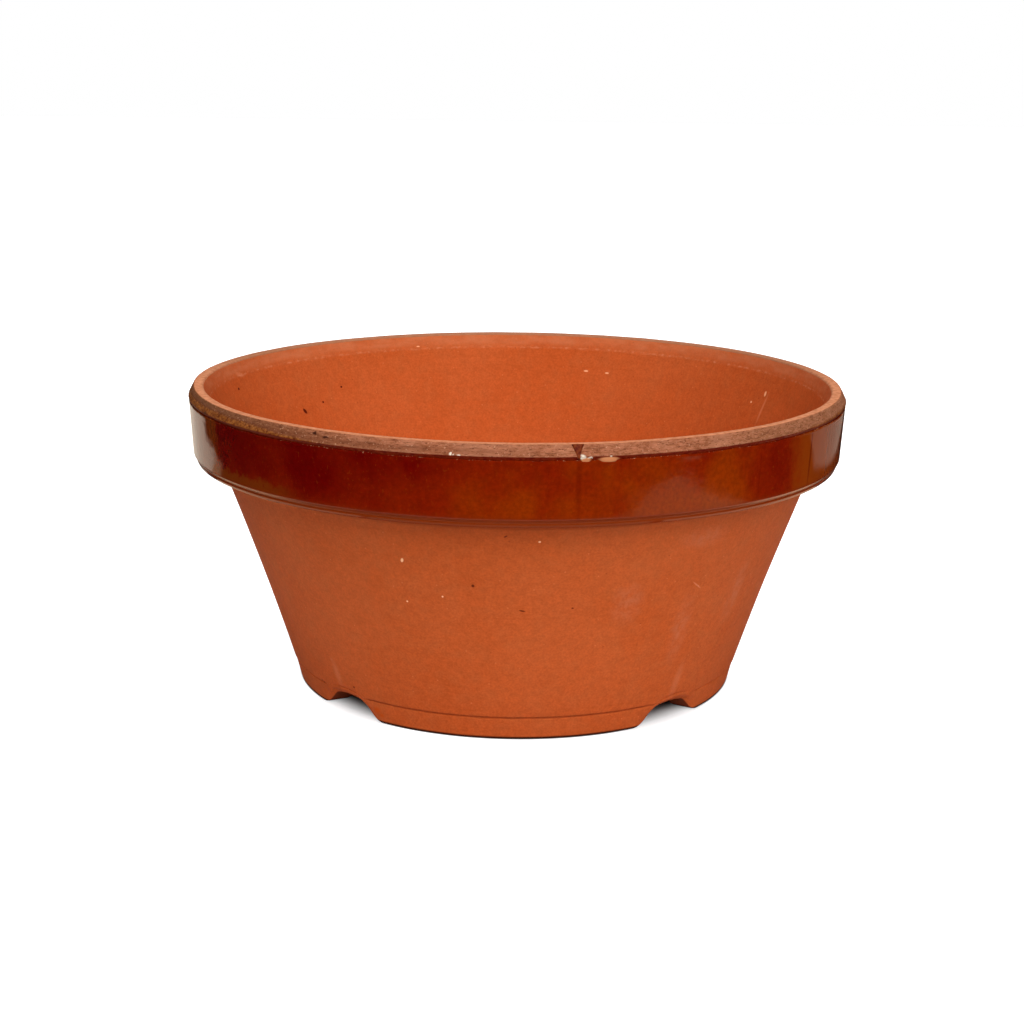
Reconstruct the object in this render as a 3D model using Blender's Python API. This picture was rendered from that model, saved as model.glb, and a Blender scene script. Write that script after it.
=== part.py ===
"""Wide, shallow terracotta pot: a fired clay body with a rolled collar, and the glaze that coats the collar.

The clay is one piece, turned about +Z and standing on z = 0. The glaze is a thin coat of its own, and a small
run of it crosses the bare edge above the collar. Everything is in metres.
"""

import math

import bmesh
import bpy
from mathutils import Matrix, Vector

# Driving dimensions.
HEIGHT = 0.1102
RIM_RADIUS = 0.1200  # the lip at the glaze's upper edge, the widest point of the pot
FOOT_RADIUS = 0.0804  # the outer edge of the ring that the pot stands on
WALL = 0.0051  # wall thickness, measured level
FLOOR = 0.0065  # floor thickness
FLOOR_BLEND = 0.0090  # radius of the hollow where the wall meets the floor
COLLAR_HEIGHT = 0.0268
COLLAR_RADIUS = 0.1184  # the glazed face near its lower edge
DRAIN_RADIUS = 0.0140
GLAZE = 0.0008  # thickness of the glaze coat
GAP = 0.0003  # space kept between solids that touch on the real pot

# The wall's outside radius is base + slope * z + flare * z * z.
WALL_BASE = 0.0810
WALL_SLOPE = 0.3026
WALL_FLARE = 0.428
RIM_SWELL = 0.0009  # how much thicker the wall is at the rim than below the collar
OUTSIDE_CURVE = (0.0180, 0.0740)  # heights between which the outside and the inside follow that curve
INSIDE_CURVE = (0.1060, 0.0260)
OUTSIDE_FLATS = 3
INSIDE_FLATS = 4

# Foot ring, and the line cut round the pot above it.
FOOT_WIDTH = 0.0084
FOOT_RECESS = 0.0050  # height of the underside inside the ring
FOOT_EDGE = 0.0007  # radius of both edges of the ring's flat
RECESS_LEAN = 0.0008  # how far the ring's inner side leans in as it rises
RECESS_BLEND = 0.0022
DRAIN_LOWER_EDGE = 0.0010
DRAIN_UPPER_EDGE = 0.0016
FOOT_BAND = 0.0079  # height of the band below the line
BAND_SLOPE = 0.25
LINE_WIDTH = 0.0010
LINE_DEPTH = 0.0004
LINE_EDGE = 0.0003

# Drainage arches cut through the foot ring by hand, so their spacing is a degree or two off a quarter turn.
# Angles are in degrees, from the front (-Y) towards +X.
ARCH_TURNS = (-45.3, 41.9, 133.0, -137.0)
ARCH_WIDTH = 0.0312  # at the ring's outer edge
ARCH_RISE = 0.0069
ARCH_TAPER = 0.24  # each arch widens outwards, as a cone does
ARCH_REACH = 0.020  # how far the cone that cuts it runs to each side of the ring's outer edge

# Collar and rim.
CHAMFER_FALL = 0.0037  # height of the bare slope between the rim and the glaze
CHAMFER_RUN = 0.0019
RIM_FLAT = 0.0034  # width of the flat on top of the rim
RIM_OUTER_EDGE = 0.0004
RIM_INNER_EDGE = 0.0011
LIP_FALL = 0.0045  # how far below the rim the glaze's lip stands out
LIP_BLEND = 0.0025  # height over which the face swells into the lip
BEAD_STEP = 0.0020  # how far the bare bead at the collar's lower edge stands inside the glazed face
BEAD_HEIGHT = 0.0011
BEAD_EDGE = 0.0005
UNDERSIDE_RISE = 0.0018  # the collar's underside slopes up from the wall to the bead
NECK_BLEND = 0.0030
FACE_START = 0.0022  # height over which the clay steps out from the bead to the face under the glaze
LEDGE_FALL = 0.0013  # height over which it steps out again above that face, to the edge of the bare slope

# The glaze coat's outline. It thickens upwards from the bead, leans out, and ends in a blunt lip.
GLAZE_START = 0.0021  # height over which it reaches its full thickness
GLAZE_SHOULDER = 0.0012  # radius of the bend there
GLAZE_LEAN = 0.0008  # how far its face leans out below the lip
GLAZE_TAIL = 0.0002  # how far the front of its lower edge is drawn in, and the edge kept above the bead
GLAZE_TUCK = 0.0006  # how far the back of that edge is drawn in
LIP_EDGE = 0.0004
LIP_BACK = 0.0010  # how far the lip slopes down to the back of the coat

# The run of glaze across the bare slope.
RUN_TURN = 9.1
RUN_LENGTH = 0.0033
RUN_TOP_WIDTH = 0.0036
RUN_TIP_WIDTH = 0.0012
RUN_THICKNESS = 0.0004

SEGMENTS = 80  # flats round each turned solid
ARCH_FLATS = 64
COARSE_ARC = 2  # flats in a rounded corner of the outline, and in one wider than WIDE_RADIUS
FINE_ARC = 4
WIDE_RADIUS = 0.0025
SMOOTH_ANGLE = math.radians(35)


def clear_scene():
    for thing in list(bpy.data.objects):
        bpy.data.objects.remove(thing, do_unlink=True)


def plain_material(name, colour, roughness):
    """A Principled material that isn't metal; colour is linear RGB."""
    made = bpy.data.materials.new(name)
    made.use_nodes = True
    shader = made.node_tree.nodes["Principled BSDF"]
    shader.inputs["Base Color"].default_value = (*colour, 1.0)
    shader.inputs["Roughness"].default_value = roughness
    shader.inputs["Metallic"].default_value = 0.0
    return made


def wall_radius(z):
    """Outside radius of the wall, which flares a little more the higher it goes."""
    return WALL_BASE + WALL_SLOPE * z + WALL_FLARE * z * z


def inner_radius(z):
    """Inside radius of the wall, which swells inwards behind the collar."""
    behind_collar = max(0.0, z - (HEIGHT - COLLAR_HEIGHT)) / COLLAR_HEIGHT
    return wall_radius(z) - WALL - RIM_SWELL * behind_collar


def rounded(corners):
    """Replaces each corner (r, z, radius) of a closed outline by an arc, or keeps it sharp at radius 0."""
    points = []
    count = len(corners)
    for index, (r, z, radius) in enumerate(corners):
        here = Vector((r, z))
        if not radius:
            points.append(here)
            continue
        steps = COARSE_ARC if radius < WIDE_RADIUS else FINE_ARC
        to_last = (Vector(corners[index - 1][:2]) - here).normalized()
        to_next = (Vector(corners[(index + 1) % count][:2]) - here).normalized()
        half = to_last.angle(to_next) / 2
        centre = here + (to_last + to_next).normalized() * (radius / math.sin(half))
        start = here + to_last * (radius / math.tan(half)) - centre
        turn = start.angle_signed(here + to_next * (radius / math.tan(half)) - centre)
        for step in range(steps + 1):
            points.append(centre + Matrix.Rotation(-turn * step / steps, 2) @ start)
    return points


def stretch(radius_at, z_start, z_end, count):
    """Sharp corners along a curved wall, for the outline between two heights."""
    heights = (z_start + (z_end - z_start) * i / count for i in range(count + 1))
    return [(radius_at(z), z, 0) for z in heights]


def turned(name, outline, material):
    """A solid of revolution from a closed outline of (r, z) points."""
    mesh = bpy.data.meshes.new(name)
    work = bmesh.new()
    ring = [work.verts.new((0.0, -r, z)) for r, z in outline]
    edges = [work.edges.new((ring[i - 1], ring[i])) for i in range(len(ring))]
    bmesh.ops.spin(
        work,
        geom=ring + edges,
        cent=(0.0, 0.0, 0.0),
        axis=(0.0, 0.0, 1.0),
        angle=math.tau,
        steps=SEGMENTS,
        use_merge=True,
    )
    bmesh.ops.recalc_face_normals(work, faces=work.faces)
    work.to_mesh(mesh)
    work.free()
    mesh.shade_smooth()
    mesh.set_sharp_from_angle(angle=SMOOTH_ANGLE)
    mesh.materials.append(material)
    solid = bpy.data.objects.new(name, mesh)
    bpy.context.collection.objects.link(solid)
    return solid


def foot_corners():
    """Underside from the drainage hole to the top of the line cut above the foot."""
    ring_inside = FOOT_RADIUS - FOOT_WIDTH
    band_top = FOOT_RADIUS + BAND_SLOPE * FOOT_BAND
    line_middle = FOOT_BAND + LINE_WIDTH / 2
    line_top = FOOT_BAND + LINE_WIDTH
    return [
        (DRAIN_RADIUS, FOOT_RECESS, DRAIN_LOWER_EDGE),
        (ring_inside - RECESS_LEAN, FOOT_RECESS, RECESS_BLEND),
        (ring_inside, 0.0, FOOT_EDGE),
        (FOOT_RADIUS, 0.0, FOOT_EDGE),
        (band_top, FOOT_BAND, 0),
        (band_top - LINE_DEPTH, line_middle, 0),
        (wall_radius(line_top), line_top, LINE_EDGE),
    ]


def collar_corners():
    """Collar from its neck to the rim, set back where the glaze goes."""
    bead_bottom = HEIGHT - COLLAR_HEIGHT
    bead_top = bead_bottom + BEAD_HEIGHT
    neck = bead_bottom - UNDERSIDE_RISE
    bead_radius = COLLAR_RADIUS - BEAD_STEP
    under_glaze = COLLAR_RADIUS - GLAZE - GAP
    edge_height = HEIGHT - CHAMFER_FALL
    edge_radius = RIM_RADIUS - GAP
    rim_outside = edge_radius - CHAMFER_RUN
    return [
        (wall_radius(neck), neck, NECK_BLEND),
        (bead_radius, bead_bottom, BEAD_EDGE),
        (bead_radius, bead_top, 0),
        (under_glaze, bead_top + FACE_START, 0),
        (under_glaze, edge_height - LEDGE_FALL, 0),
        (edge_radius, edge_height, 0),
        (rim_outside, HEIGHT, RIM_OUTER_EDGE),
        (rim_outside - RIM_FLAT, HEIGHT, RIM_INNER_EDGE),
    ]


def clay_outline():
    """Closed outline of the clay: out along the underside, up the outside, over the rim and back inside."""
    floor_top = FOOT_RECESS + FLOOR
    outside = stretch(wall_radius, *OUTSIDE_CURVE, OUTSIDE_FLATS)
    inside = stretch(inner_radius, *INSIDE_CURVE, INSIDE_FLATS)
    floor_corners = [
        (inner_radius(floor_top), floor_top, FLOOR_BLEND),
        (DRAIN_RADIUS, floor_top, DRAIN_UPPER_EDGE),
    ]
    return rounded(foot_corners() + outside + collar_corners() + inside + floor_corners)


def glaze_outline():
    """Closed outline of the glaze coat, up its outer face and down its inner face."""
    bottom = HEIGHT - COLLAR_HEIGHT + BEAD_HEIGHT
    lip = HEIGHT - LIP_FALL
    back = COLLAR_RADIUS - GLAZE
    shoulder = bottom + GLAZE_START
    outer = [
        (back - GLAZE_TAIL, bottom + GLAZE_TAIL, 0),
        (COLLAR_RADIUS, shoulder, GLAZE_SHOULDER),
        (COLLAR_RADIUS + GLAZE_LEAN, lip - LIP_BLEND, 0),
        (RIM_RADIUS, lip - LIP_EDGE, 0),
        (RIM_RADIUS - LIP_EDGE / 2, lip + LIP_EDGE / 2, 0),
    ]
    inner = [
        (back, lip - LIP_BACK, 0),
        (back, shoulder, 0),
        (back - GLAZE_TUCK, bottom + GLAZE_TAIL, 0),
    ]
    return rounded(outer + inner)


def arch_cutter(turn):
    """A cone lying on its side along the pot's radius, with its axis below the ground."""
    radius = (ARCH_WIDTH * ARCH_WIDTH / 4 + ARCH_RISE * ARCH_RISE) / (2 * ARCH_RISE)
    bpy.ops.mesh.primitive_cone_add(
        vertices=ARCH_FLATS,
        radius1=radius - ARCH_TAPER * ARCH_REACH,
        radius2=radius + ARCH_TAPER * ARCH_REACH,
        depth=2 * ARCH_REACH,
    )
    cutter = bpy.context.object
    cutter.name = f"arch_cutter_{turn:.0f}"
    lay_down = Matrix.Rotation(math.radians(90), 4, "X")
    move_out = Matrix.Translation((0.0, -FOOT_RADIUS, ARCH_RISE - radius))
    cutter.matrix_world = Matrix.Rotation(math.radians(turn), 4, "Z") @ move_out @ lay_down
    cutter.hide_render = True
    cutter.display_type = "WIRE"
    return cutter


def cut(solid, cutter):
    boolean = solid.modifiers.new(cutter.name, "BOOLEAN")
    boolean.operation = "DIFFERENCE"
    boolean.object = cutter


def make_pot_body():
    clay = plain_material("fired_clay", (0.47, 0.090, 0.022), 0.85)
    body = turned("pot_body", clay_outline(), clay)
    for turn in ARCH_TURNS:
        cut(body, arch_cutter(turn))
    return body


def make_rim_glaze():
    return turned("rim_glaze", glaze_outline(), plain_material("amber_glaze", (0.20, 0.016, 0.002), 0.12))


def make_glaze_run():
    """A thin tongue of glaze lying on the bare slope, wide at the rim and narrow at the collar."""
    slope = Vector((0.0, -CHAMFER_RUN, -CHAMFER_FALL))
    down = slope.normalized()
    along = Vector((1.0, 0.0, 0.0))
    outward = down.cross(along)
    rim_edge = Vector((0.0, -(RIM_RADIUS - GAP - CHAMFER_RUN), HEIGHT))
    start = rim_edge + down * ((slope.length - RUN_LENGTH) / 2) + outward * GAP
    work = bmesh.new()
    corners = []
    for distance, width in ((0.0, RUN_TOP_WIDTH), (RUN_LENGTH, RUN_TIP_WIDTH)):
        for side in (-1, 1):
            corners.append(work.verts.new(start + down * distance + along * (side * width / 2)))
    base = work.faces.new((corners[0], corners[1], corners[3], corners[2]))
    raised = bmesh.ops.extrude_face_region(work, geom=[base])
    top = [item for item in raised["geom"] if isinstance(item, bmesh.types.BMVert)]
    bmesh.ops.translate(work, verts=top, vec=outward * RUN_THICKNESS)
    bmesh.ops.recalc_face_normals(work, faces=work.faces)
    mesh = bpy.data.meshes.new("glaze_run")
    work.to_mesh(mesh)
    work.free()
    mesh.materials.append(plain_material("dark_glaze", (0.05, 0.008, 0.003), 0.2))
    run = bpy.data.objects.new("glaze_run", mesh)
    run.rotation_euler.z = math.radians(RUN_TURN)
    bpy.context.collection.objects.link(run)
    return run


def main():
    clear_scene()
    make_pot_body()
    make_rim_glaze()
    make_glaze_run()


main()
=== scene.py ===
"""Looks of the terracotta pot: a bare clay body, the amber glaze on its collar, and the studio around it."""

import math

import bpy
import numpy as np
from mathutils import Matrix, Vector


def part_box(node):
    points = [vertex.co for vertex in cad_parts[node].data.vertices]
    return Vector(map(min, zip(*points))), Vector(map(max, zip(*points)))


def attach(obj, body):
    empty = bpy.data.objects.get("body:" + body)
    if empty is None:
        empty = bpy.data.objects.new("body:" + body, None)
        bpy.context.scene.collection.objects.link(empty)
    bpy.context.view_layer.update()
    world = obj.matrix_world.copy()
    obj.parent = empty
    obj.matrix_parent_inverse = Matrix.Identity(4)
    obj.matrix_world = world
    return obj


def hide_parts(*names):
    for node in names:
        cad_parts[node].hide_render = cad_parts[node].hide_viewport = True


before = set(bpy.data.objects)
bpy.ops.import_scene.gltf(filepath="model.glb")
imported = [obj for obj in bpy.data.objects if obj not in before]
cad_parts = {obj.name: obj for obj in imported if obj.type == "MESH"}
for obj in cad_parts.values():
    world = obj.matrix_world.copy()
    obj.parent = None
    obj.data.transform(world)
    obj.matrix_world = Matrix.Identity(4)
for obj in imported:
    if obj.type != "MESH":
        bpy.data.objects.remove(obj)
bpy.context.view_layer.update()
_, body_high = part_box("pot_body")
_, glaze_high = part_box("rim_glaze")
run_low, run_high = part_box("glaze_run")

# Sizes in metres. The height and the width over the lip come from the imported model.
MM = 0.001
HEIGHT = body_high.z
RIM_RADIUS = glaze_high.x

# Wall: its outside radius is base + slope * z + flare * z * z.
WALL_BASE = 81.0 * MM
WALL_SLOPE = 0.3026
WALL_FLARE = 0.428
WALL = 5.1 * MM
OUTSIDE_CURVE = range(12, 78, 6)  # heights in mm at which the two sides are set out on that curve
INSIDE_CURVE = range(100, 20, -6)
FLOOR_TOP = 11.5 * MM
FLOOR_BLEND = 9.0 * MM
DRAIN_RADIUS = 14.0 * MM
WIPED_BAND = 5.6 * MM  # wiped smooth by hand, inside below the rim
WIPED_STEP = 0.35 * MM
NECK_FALL = 1.9 * MM  # how far below the collar's lower edge its underside meets the wall
NECK_BLEND = 3.0 * MM

# Foot ring, and the line cut round the pot above it.
FOOT_RADIUS = 81.2 * MM
FOOT_WIDTH = 8.4 * MM
FOOT_RECESS = 5.0 * MM
RECESS_LEAN = 0.8 * MM
FOOT_BAND = 7.9 * MM
BAND_SLOPE = 0.25
LINE_WIDTH = 1.0 * MM
LINE_DEPTH = 0.45 * MM

# Rim: a flat on top and a bare slope outside it, which ends in a ridge above the glaze.
CHAMFER_FALL = 3.7 * MM
CHAMFER_RUN = 1.9 * MM
RIM_FLAT = 3.4 * MM
EDGE_RADIUS = RIM_RADIUS - 0.15 * MM
EDGE_HEIGHT = HEIGHT - CHAMFER_FALL

# Collar, and the glaze on its face.
COLLAR_LOW = 83.4 * MM
FACE_LOW = 86.6 * MM
FACE_HIGH = EDGE_HEIGHT - 0.5 * MM
FACE_RADIUS = 118.45 * MM  # at its foot; it leans out as it rises
FACE_SLOPE = 0.062
COAT = 0.55 * MM
BITE = 0.15 * MM  # how far the back of the glaze sinks into the clay
BEAD_INSET = 2.0 * MM  # how far the bare clay behind the glaze's lower edge stands inside the glazed face

# Drainage arches cut through the foot ring by hand.
ARCH_TURNS = (-45.3, 41.9, 133.0, -137.0)  # degrees from the front (-Y) towards +X
ARCH_RISE = 6.95 * MM
ARCH_CROWN = 60 * MM  # twice the radius of the crown's curve
ARCH_FLAT = 6.5 * MM  # distances across at which its sides start and end
ARCH_FOOT = 16.4 * MM
ARCH_TAPER = 11.0  # per metre: how fast an arch narrows inwards
ARCH_BACK = 4.6 * MM  # its height where it opens into the recess
ARCH_EDGE = 0.9 * MM  # the foot's edge, up to here, is lifted whole; the wall above it less and less
ARCH_DRAG = 1.6  # how many times the lift that fading takes
LINE_FADE = (1.2 * MM, 4.5 * MM)  # lift over which the line and the step above it fade out

# Unevenness: each is a feature size, a depth and a seed.
WANDER = ((34 * MM, 0.10 * MM, 1), (9 * MM, 0.04 * MM, 2))  # the pot's own, which the glaze on it shares
CRACKS = (2.8 * MM, 0.25 * MM, 3)
CRACK_LEVELS = (0.38, 0.75)  # the noise between which a crack opens
CHATTER = (1.5 * MM, 0.05 * MM, 4)
PEEL = (2.4 * MM, 0.012 * MM, 11)
WAVES = (16 * MM, 0.03 * MM, 12)
EDGE_WANDER = ((7 * MM, 0.18 * MM, 13), (1.7 * MM, 0.12 * MM, 14))
CHIP_EDGE = (1.3 * MM, 0.4, 15)  # its depth is a part of a chip's half width
RING_SPACING = 8.2 * MM  # turning rings on the inside wall
RING_DEPTH = 0.05 * MM
GRAIN_ROUND = 4.5  # how much longer the slope's cracks are round the rim than across it

# Chips in the glaze's upper edge: turn in degrees, then half width and depth in mm.
CHIPS = ((10.2, 0.8, 0.5), (13.7, 1.6, 0.8), (171.0, 1.4, 0.8))
CHIP_MARKS = tuple((turn, 105.4, 1.9 * half, 0.9) for turn, half, _ in CHIPS)  # pale clay, laid out as below

# The dark run across the bare slope.
RUN_LENGTH = 4.9 * MM
RUN_HALF_TOP = 1.9 * MM
RUN_HALF_TIP = 0.35 * MM
RUN_THICK = 0.32 * MM
RUN_SUNK = 0.25 * MM
RUN_LIFT = 0.03 * MM
RUN_WANDER = 0.12 * MM
RUN_ROWS = 22
RUN_COLUMNS = 17

CLAY_ROUND = 768  # columns round the clay and round the glaze
GLAZE_ROUND = 1080


# ---------------------------------------------------------------- noise and outlines


def lattice_noise(points, size, seed):
    """Smooth noise from -1 to 1 on an (n, 3) array, with features about size metres across."""
    scaled = points / size + 1000.0
    cell = np.floor(scaled).astype(np.int64)
    part = scaled - cell
    part = part * part * (3 - 2 * part)
    total = np.zeros(len(points))
    for corner in range(8):
        step = np.array([corner & 1, corner >> 1 & 1, corner >> 2 & 1])
        key = cell + step
        mixed = key[:, 0] * 73856093 ^ key[:, 1] * 19349663 ^ key[:, 2] * 83492791 ^ seed * 2654435761
        mixed = (mixed ^ mixed >> 13) * 1274126177 & 0xFFFFFFFF
        mixed = (mixed ^ mixed >> 15) * 2246822519 & 0xFFFFFFFF
        value = (mixed ^ mixed >> 16 & 0xFFFF) / 0x7FFFFFFF - 1.0
        total += value * np.prod(np.where(step, part, 1 - part), axis=1)
    return total


def smooth(value, low, high):
    """0 below low, 1 above high, and a smooth step between."""
    t = np.clip((value - low) / (high - low), 0, 1)
    return t * t * (3 - 2 * t)


def wall_radius(z):
    return WALL_BASE + WALL_SLOPE * z + WALL_FLARE * z * z


def inner_radius(z):
    """The inside wall, which stands a little wider in the band wiped smooth below the rim."""
    wiped = max(0.0, z - (HEIGHT - WIPED_BAND)) / WIPED_BAND
    return wall_radius(z) - WALL + WIPED_STEP * wiped


def face_radius(z):
    return FACE_RADIUS + FACE_SLOPE * (z - FACE_LOW)


def rounded(corners, arc_flats=8):
    """Points of a closed outline whose corners (name, r, z, radius) are rounded, and where each name lies."""
    points, names = [], {}
    count = len(corners)
    for index, (name, r, z, radius) in enumerate(corners):
        here = Vector((r, z))
        if name:
            names[name] = len(points) + (arc_flats // 2 if radius else 0)
        if not radius:
            points.append(here)
            continue
        to_last = (Vector(corners[index - 1][1:3]) - here).normalized()
        to_next = (Vector(corners[(index + 1) % count][1:3]) - here).normalized()
        half = to_last.angle(to_next) / 2
        centre = here + (to_last + to_next).normalized() * (radius / math.sin(half))
        start = here + to_last * (radius / math.tan(half)) - centre
        turn = start.angle_signed(here + to_next * (radius / math.tan(half)) - centre)
        for step in range(arc_flats + 1):
            points.append(centre + Matrix.Rotation(-turn * step / arc_flats, 2) @ start)
    return np.array(points), names


def resample(points, names, spacing_at):
    """Rows along a closed outline, as close together as spacing_at says, and how far along each name lies."""
    closed = np.vstack([points, points[:1]])
    length = np.concatenate([[0.0], np.cumsum(np.linalg.norm(np.diff(closed, axis=0), axis=1))])
    fine = np.linspace(0, length[-1], 20000)
    r = np.interp(fine, length, closed[:, 0])
    z = np.interp(fine, length, closed[:, 1])
    crowd = np.concatenate([[0.0], np.cumsum(np.diff(fine) / spacing_at(r[1:], z[1:]))])
    rows = int(round(crowd[-1]))
    along = np.interp(np.arange(rows) * crowd[-1] / rows, crowd, fine)
    marks = {name: length[index] for name, index in names.items()}
    return np.interp(along, fine, r), np.interp(along, fine, z), along, marks


def outline_normals(r, z):
    """Unit normals of a closed outline that runs out along the bottom and up the outside."""
    tangent = np.stack([np.roll(r, -1) - np.roll(r, 1), np.roll(z, -1) - np.roll(z, 1)])
    tangent /= np.linalg.norm(tangent, axis=0)
    return tangent[1], -tangent[0]


def turned_mesh(name, radius, height, along):
    """A closed ring mesh from (rows, columns) arrays of radius and height; materials read its along."""
    rows, columns = radius.shape
    turn = np.arange(columns) * math.tau / columns
    points = np.stack([radius * np.sin(turn), -radius * np.cos(turn), height], axis=-1).reshape(-1, 3)
    row, column = np.meshgrid(np.arange(rows), np.arange(columns), indexing="ij")
    next_row, next_column = (row + 1) % rows, (column + 1) % columns
    corners = [row * columns + column, row * columns + next_column]
    corners += [next_row * columns + next_column, next_row * columns + column]
    faces = np.stack(corners, axis=-1).reshape(-1, 4)
    mesh = bpy.data.meshes.new(name)
    mesh.from_pydata(points.tolist(), [], faces.tolist())
    mesh.shade_smooth()
    outline = mesh.attributes.new("along", "FLOAT", "POINT")
    outline.data.foreach_set("value", np.repeat(along, columns).astype(np.float32))
    piece = bpy.data.objects.new(name, mesh)
    bpy.context.collection.objects.link(piece)
    return piece


def grid(rows, columns):
    return np.arange(columns)[None, :] * math.tau / columns * np.ones((rows, 1))


def at(radius, height, turn):
    return np.stack([radius * np.sin(turn), -radius * np.cos(turn), height], axis=-1).reshape(-1, 3)


# ---------------------------------------------------------------- clay body


def clay_outline():
    """The clay's section from the drain out, up and in: each corner's name, radius, height and rounding."""
    rim_outside = EDGE_RADIUS - CHAMFER_RUN
    ring_inside = FOOT_RADIUS - FOOT_WIDTH
    line = FOOT_BAND + 0.5 * LINE_WIDTH
    line_top = FOOT_BAND + LINE_WIDTH
    neck = COLLAR_LOW - NECK_FALL
    corners = [
        ("drain_bottom", DRAIN_RADIUS, FOOT_RECESS, 1.0 * MM),
        ("recess", ring_inside - RECESS_LEAN, FOOT_RECESS, 2.2 * MM),
        ("foot_inside", ring_inside, 0.0, 0.6 * MM),
        ("foot_outside", FOOT_RADIUS, 0.0, 0.4 * MM),
        ("band_top", FOOT_RADIUS + BAND_SLOPE * FOOT_BAND, FOOT_BAND, 0.2 * MM),
        ("line", FOOT_RADIUS + BAND_SLOPE * line - LINE_DEPTH, line, 0.12 * MM),
        ("line_top", wall_radius(line_top), line_top, 0.35 * MM),
    ]
    corners += [(None, wall_radius(z * MM), z * MM, 0) for z in OUTSIDE_CURVE]
    corners += [
        ("neck", wall_radius(neck), neck, NECK_BLEND),
        ("bead", FACE_RADIUS - BEAD_INSET - 0.1 * MM, COLLAR_LOW - 0.1 * MM, 0.5 * MM),
        (None, FACE_RADIUS - BEAD_INSET, COLLAR_LOW + 1.0 * MM, 0),
        ("face_low", face_radius(FACE_LOW) - COAT, FACE_LOW, 0),
        ("face_high", face_radius(FACE_HIGH) - COAT, FACE_HIGH - 0.3 * MM, 0),
        ("edge", EDGE_RADIUS, EDGE_HEIGHT, 0.3 * MM),
        ("rim_outside", rim_outside, HEIGHT, 0.5 * MM),
        ("rim_inside", rim_outside - RIM_FLAT, HEIGHT, 1.0 * MM),
        ("wiped", inner_radius(HEIGHT - WIPED_BAND), HEIGHT - WIPED_BAND, 0),
    ]
    corners += [(None, inner_radius(z * MM), z * MM, 0) for z in INSIDE_CURVE]
    corners += [
        ("floor_edge", inner_radius(FLOOR_TOP), FLOOR_TOP, FLOOR_BLEND),
        ("drain_top", DRAIN_RADIUS, FLOOR_TOP, 1.6 * MM),
    ]
    return rounded(corners)


def clay_spacing(r, z):
    """Distance between rows: fine on the rim, the foot and the line above it, coarse on floors."""
    floor = (z < FLOOR_TOP + 1 * MM) & (r < FOOT_RADIUS - FOOT_WIDTH - 4 * MM)
    line = (z > FOOT_BAND - 0.6 * MM) & (z < FOOT_BAND + 1.8 * MM) & (r > FOOT_RADIUS)
    foot = (z < 16 * MM) & (r > FOOT_RADIUS - FOOT_WIDTH - 4 * MM)
    rim = z > EDGE_HEIGHT - 0.5 * MM
    collar = (z > COLLAR_LOW - 6 * MM) & (r > wall_radius(COLLAR_LOW) - 1 * MM)
    steps = [4.5 * MM, 0.3 * MM, 0.85 * MM, 0.33 * MM, 1.3 * MM]
    return np.select([floor, line, foot, rim, collar], steps, 3.0 * MM)


def arch_lift(radius, turn):
    """How far the drainage arches lift the underside of the foot at each point."""
    lift = np.zeros_like(radius)
    inward = FOOT_RADIUS - radius
    for centre in ARCH_TURNS:
        off = (turn - math.radians(centre) + math.pi) % math.tau - math.pi
        across = np.abs(FOOT_RADIUS * off) * (1 + ARCH_TAPER * inward)
        crown = ARCH_RISE - across * across / ARCH_CROWN
        lift = np.maximum(lift, crown * (1 - smooth(across, ARCH_FLAT, ARCH_FOOT)))
    highest = ARCH_BACK + (ARCH_RISE - ARCH_BACK) * smooth(-inward, -0.8 * FOOT_WIDTH, -0.1 * FOOT_WIDTH)
    return np.minimum(lift, highest)


def cut_arches(r, z, turn, foot_rows):
    """Lift the foot over each arch; the incised line and the step above it fade out there."""
    inner_rows, outer_rows = foot_rows
    lift = arch_lift(r, turn)
    reach = np.maximum(FOOT_BAND - ARCH_EDGE, ARCH_DRAG * lift)
    outer = z + lift * (1 - smooth(z, ARCH_EDGE, ARCH_EDGE + reach))
    inner = lift + z * (1 - lift / FOOT_RECESS)
    lifted = np.where(outer_rows[:, None], outer, np.where(inner_rows[:, None], inner, z))
    fade = smooth(lift, *LINE_FADE) * outer_rows[:, None]
    step = np.maximum(wall_radius(lifted) - r, 0) * smooth(z, 0.5 * MM, 2.5 * MM)
    return r + fade * step * (z < FOOT_BAND + LINE_WIDTH), lifted


def uneven(where, *layers):
    """The sum of some layers of unevenness, in metres, at each point."""
    return sum(depth * lattice_noise(where, size, seed) for size, depth, seed in layers)


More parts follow.
